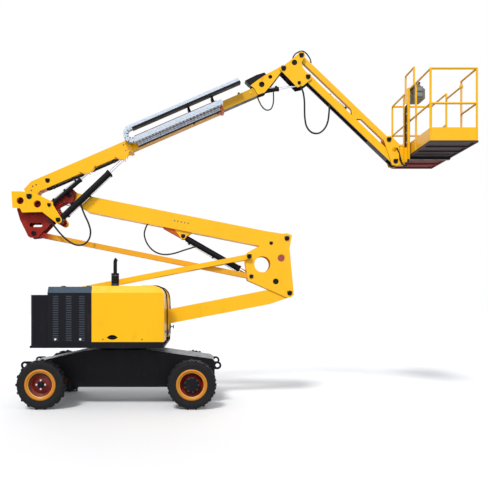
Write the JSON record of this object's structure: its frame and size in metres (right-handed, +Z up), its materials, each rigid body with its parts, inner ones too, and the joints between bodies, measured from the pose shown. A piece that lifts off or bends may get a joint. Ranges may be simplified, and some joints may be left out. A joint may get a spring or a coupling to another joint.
{
  "type": "self-propelled articulating boom lift",
  "caption": "Four-wheeled work platform lift with folding riser arms, a telescoping boom and a jib that carries a railed platform.",
  "frame": {"origin": "middle of the bounding box on the ground, which lies ahead of the slew axis", "axes": "+X towards the platform, -Y towards the side seen in the picture, +Z up"},
  "size_m": [7.5744, 2, 5.9806],
  "materials": {
    "yellow_paint": "gloss paint",
    "black_paint": "semi-gloss paint",
    "grey_paint": "satin paint",
    "red_paint": "semi-gloss paint",
    "orange_paint": "semi-gloss paint",
    "tyre_rubber": "matt",
    "rim_paint": "semi-gloss paint",
    "rod_chrome": "polished",
    "chain_steel": "satin",
    "floor_coating": "matt",
    "console_plastic": "matt"
  },
  "bodies": {
    "chassis": {"chassis": "black_paint", "steps": "black_paint", "axles": "black_paint"},
    "knuckle_near": {"knuckle_near": "black_paint"},
    "knuckle_far": {"knuckle_far": "black_paint"},
    "wheel_steer_near": {"tyre_steer_near": "tyre_rubber", "rim_steer_near": "rim_paint"},
    "wheel_steer_far": {"tyre_steer_far": "tyre_rubber", "rim_steer_far": "rim_paint"},
    "wheel_drive_near": {"tyre_drive_near": "tyre_rubber", "rim_drive_near": "rim_paint"},
    "wheel_drive_far": {"tyre_drive_far": "tyre_rubber", "rim_drive_far": "rim_paint"},
    "turntable": {"deck": "black_paint", "tower": "yellow_paint", "counterweight": "black_paint", "hood_near": "yellow_paint", "hood_far": "yellow_paint", "cover_near": "black_paint", "cover_far": "black_paint", "front_panel": "grey_paint", "exhaust": "black_paint", "engine": "black_paint"},
    "lower_arm": {"lower_arm": "yellow_paint"},
    "lower_link": {"lower_link": "yellow_paint"},
    "mid_upright": {"mid_upright": "yellow_paint"},
    "upper_arm": {"upper_arm": "yellow_paint"},
    "upper_link": {"upper_link": "orange_paint"},
    "top_upright": {"top_upright": "red_paint"},
    "boom_base": {"boom_base": "yellow_paint"},
    "boom_mid": {"boom_mid": "yellow_paint", "chain_tray": "black_paint", "drag_chain": "chain_steel"},
    "boom_fly": {"boom_fly": "yellow_paint"},
    "jib_knuckle": {"jib_knuckle": "yellow_paint"},
    "jib_arm": {"jib_arm": "yellow_paint"},
    "jib_link": {"jib_link": "yellow_paint"},
    "jib_head": {"jib_head": "yellow_paint"},
    "platform": {"platform_mount": "yellow_paint", "platform_rails": "yellow_paint", "platform_floor": "floor_coating", "console": "console_plastic"},
    "entry_bar": {"entry_bar": "yellow_paint"},
    "riser_barrel": {"riser_barrel": "black_paint"},
    "riser_rod": {"riser_rod": "rod_chrome"},
    "lift_barrel": {"lift_barrel": "black_paint"},
    "lift_rod": {"lift_rod": "rod_chrome"},
    "master_barrel": {"master_barrel": "black_paint"},
    "master_rod": {"master_rod": "rod_chrome"},
    "slave_barrel": {"slave_barrel": "black_paint"},
    "slave_rod": {"slave_rod": "rod_chrome"},
    "jib_barrel": {"jib_barrel": "black_paint"},
    "jib_rod": {"jib_rod": "rod_chrome"}
  },
  "joints": [
    {"name": "steer_near", "type": "hinge", "parent": "chassis", "child": "knuckle_near", "pos_m": [-3.1048, -0.7, 0.39], "axis": [0, 0, 1], "range_deg": [-30, 30]},
    {"name": "roll_steer_near", "type": "hinge", "parent": "knuckle_near", "child": "wheel_steer_near", "pos_m": [-3.1048, -0.895, 0.39], "axis": [0, 1, 0], "continuous": true},
    {"name": "roll_drive_near", "type": "hinge", "parent": "chassis", "child": "wheel_drive_near", "pos_m": [-0.7328, -0.895, 0.39], "axis": [0, 1, 0], "continuous": true},
    {"name": "steer_far", "type": "hinge", "parent": "chassis", "child": "knuckle_far", "pos_m": [-3.1048, 0.7, 0.39], "axis": [0, 0, 1], "range_deg": [-30, 30]},
    {"name": "roll_steer_far", "type": "hinge", "parent": "knuckle_far", "child": "wheel_steer_far", "pos_m": [-3.1048, 0.895, 0.39], "axis": [0, 1, 0], "continuous": true},
    {"name": "roll_drive_far", "type": "hinge", "parent": "chassis", "child": "wheel_drive_far", "pos_m": [-0.7328, 0.895, 0.39], "axis": [0, 1, 0], "continuous": true},
    {"name": "slew", "type": "hinge", "parent": "chassis", "child": "turntable", "pos_m": [-1.9188, 0, 0.9], "axis": [0, 0, 1], "continuous": true},
    {"name": "riser", "type": "hinge", "parent": "turntable", "child": "lower_arm", "pos_m": [-2.3088, 0, 1.213], "axis": [0, -1, 0], "range_deg": [-8, 55]},
    {"name": "lower_link_turn", "type": "hinge", "parent": "turntable", "child": "lower_link", "pos_m": [-3.0028, 0, 1.834], "axis": [0, -1, 0], "range_deg": [-8, 55]},
    {"name": "mid_level", "type": "hinge", "parent": "lower_arm", "child": "mid_upright", "pos_m": [0.93057, 0, 1.84267], "axis": [0, 1, 0], "range_deg": [-8, 55]},
    {"name": "upper_riser", "type": "hinge", "parent": "mid_upright", "child": "upper_arm", "pos_m": [0.88457, 0, 2.77667], "axis": [0, 1, 0], "range_deg": [-8, 55]},
    {"name": "upper_link_turn", "type": "hinge", "parent": "mid_upright", "child": "upper_link", "pos_m": [0.27557, 0, 2.12667], "axis": [0, 1, 0], "range_deg": [-8, 55]},
    {"name": "top_level", "type": "hinge", "parent": "upper_arm", "child": "top_upright", "pos_m": [-2.8362, 0, 3.5134], "axis": [0, -1, 0], "range_deg": [-8, 55]},
    {"name": "riser_barrel_turn", "type": "hinge", "parent": "upper_arm", "child": "riser_barrel", "pos_m": [-0.89243, 0, 2.81967], "axis": [0, -1, 0], "range_deg": [-1.01, 6.9]},
    {"name": "riser_rod_slide", "type": "slide", "parent": "riser_barrel", "child": "riser_rod", "axis": [0.8668, 0, -0.4986], "range_m": [-0.1112, 0.76159]},
    {"name": "boom_lift", "type": "hinge", "parent": "top_upright", "child": "boom_base", "pos_m": [-3.4812, 0, 3.4674], "axis": [0, -1, 0], "range_deg": [-14, 50]},
    {"name": "lift_barrel_turn", "type": "hinge", "parent": "top_upright", "child": "lift_barrel", "pos_m": [-2.9932, -0.195, 3.0724], "axis": [0, -1, 0], "range_deg": [-13.2, 47.1]},
    {"name": "lift_rod_slide", "type": "slide", "parent": "lift_barrel", "child": "lift_rod", "axis": [0.725, 0, 0.6887], "range_m": [-0.14728, 0.5247]},
    {"name": "master_barrel_turn", "type": "hinge", "parent": "top_upright", "child": "master_barrel", "pos_m": [-3.1452, -0.195, 3.3254], "axis": [0, -1, 0], "range_deg": [-14.54, 51.89]},
    {"name": "master_rod_slide", "type": "slide", "parent": "master_barrel", "child": "master_rod", "axis": [0.758, 0, 0.6523], "range_m": [-0.07926, 0.2818]},
    {"name": "telescope_mid", "type": "slide", "parent": "boom_base", "child": "boom_mid", "axis": [0.9178, 0, 0.3971], "range_m": [-1.1, 0.3]},
    {"name": "telescope_fly", "type": "slide", "parent": "boom_mid", "child": "boom_fly", "axis": [0.9178, 0, 0.3971], "range_m": [-0.3, 0.55]},
    {"name": "knuckle_level", "type": "hinge", "parent": "boom_fly", "child": "jib_knuckle", "pos_m": [0.83047, 0, 5.69062], "axis": [0, 1, 0], "range_deg": [-14, 50]},
    {"name": "slave_barrel_turn", "type": "hinge", "parent": "boom_fly", "child": "slave_barrel", "pos_m": [0.27028, 0, 5.28803], "axis": [0, -1, 0], "range_deg": [-9.05, 2.54]},
    {"name": "slave_rod_slide", "type": "slide", "parent": "slave_barrel", "child": "slave_rod", "axis": [0.983, 0, 0.1837], "range_m": [-0.29057, 0.08172]},
    {"name": "jib_turn", "type": "hinge", "parent": "jib_knuckle", "child": "jib_arm", "pos_m": [1.24947, 0, 5.54562], "axis": [0, 1, 0], "range_deg": [-65, 5]},
    {"name": "jib_link_turn", "type": "hinge", "parent": "jib_knuckle", "child": "jib_link", "pos_m": [1.13647, 0, 5.91662], "axis": [0, 1, 0], "range_deg": [-65, 5]},
    {"name": "head_level", "type": "hinge", "parent": "jib_arm", "child": "jib_head", "pos_m": [2.75164, 0, 4.10257], "axis": [0, -1, 0], "range_deg": [-65, 5]},
    {"name": "jib_barrel_turn", "type": "hinge", "parent": "jib_knuckle", "child": "jib_barrel", "pos_m": [1.24947, 0, 5.54562], "axis": [0, 1, 0], "range_deg": [-73.26, 5.64]},
    {"name": "jib_rod_slide", "type": "slide", "parent": "jib_barrel", "child": "jib_rod", "axis": [0.771, 0, -0.6368], "range_m": [-0.02779, 0.35523]},
    {"name": "platform_turn", "type": "hinge", "parent": "jib_head", "child": "platform", "pos_m": [2.8812, 0, 4.10257], "axis": [0, 0, 1], "range_deg": [-80, 80]},
    {"name": "entry_bar_swing", "type": "hinge", "parent": "platform", "child": "entry_bar", "pos_m": [3.7642, -0.36, 5.284], "axis": [0, 0, 1], "range_deg": [0, 60]}
  ],
  "couplings": [
    {"joint": "steer_far", "follows": "steer_near", "ratio": 1},
    {"joint": "lower_link_turn", "follows": "riser", "ratio": 1},
    {"joint": "mid_level", "follows": "riser", "ratio": 1},
    {"joint": "upper_riser", "follows": "riser", "ratio": 1},
    {"joint": "upper_link_turn", "follows": "riser", "ratio": 1},
    {"joint": "top_level", "follows": "riser", "ratio": 1},
    {"joint": "riser_barrel_turn", "follows": "riser", "ratio": 0.1253},
    {"joint": "riser_rod_slide", "follows": "riser", "m_per_rad": 0.79286},
    {"joint": "lift_barrel_turn", "follows": "boom_lift", "ratio": 0.94188},
    {"joint": "lift_rod_slide", "follows": "boom_lift", "m_per_rad": 0.60069},
    {"joint": "master_barrel_turn", "follows": "boom_lift", "ratio": 1.0377},
    {"joint": "master_rod_slide", "follows": "boom_lift", "m_per_rad": 0.32235},
    {"joint": "knuckle_level", "follows": "boom_lift", "ratio": 1},
    {"joint": "slave_barrel_turn", "follows": "boom_lift", "ratio": -0.18072},
    {"joint": "slave_rod_slide", "follows": "boom_lift", "m_per_rad": -0.3324},
    {"joint": "jib_link_turn", "follows": "jib_turn", "ratio": 1},
    {"joint": "head_level", "follows": "jib_turn", "ratio": 1},
    {"joint": "jib_barrel_turn", "follows": "jib_turn", "ratio": 1.1269},
    {"joint": "jib_rod_slide", "follows": "jib_turn", "m_per_rad": -0.31268}
  ]
}
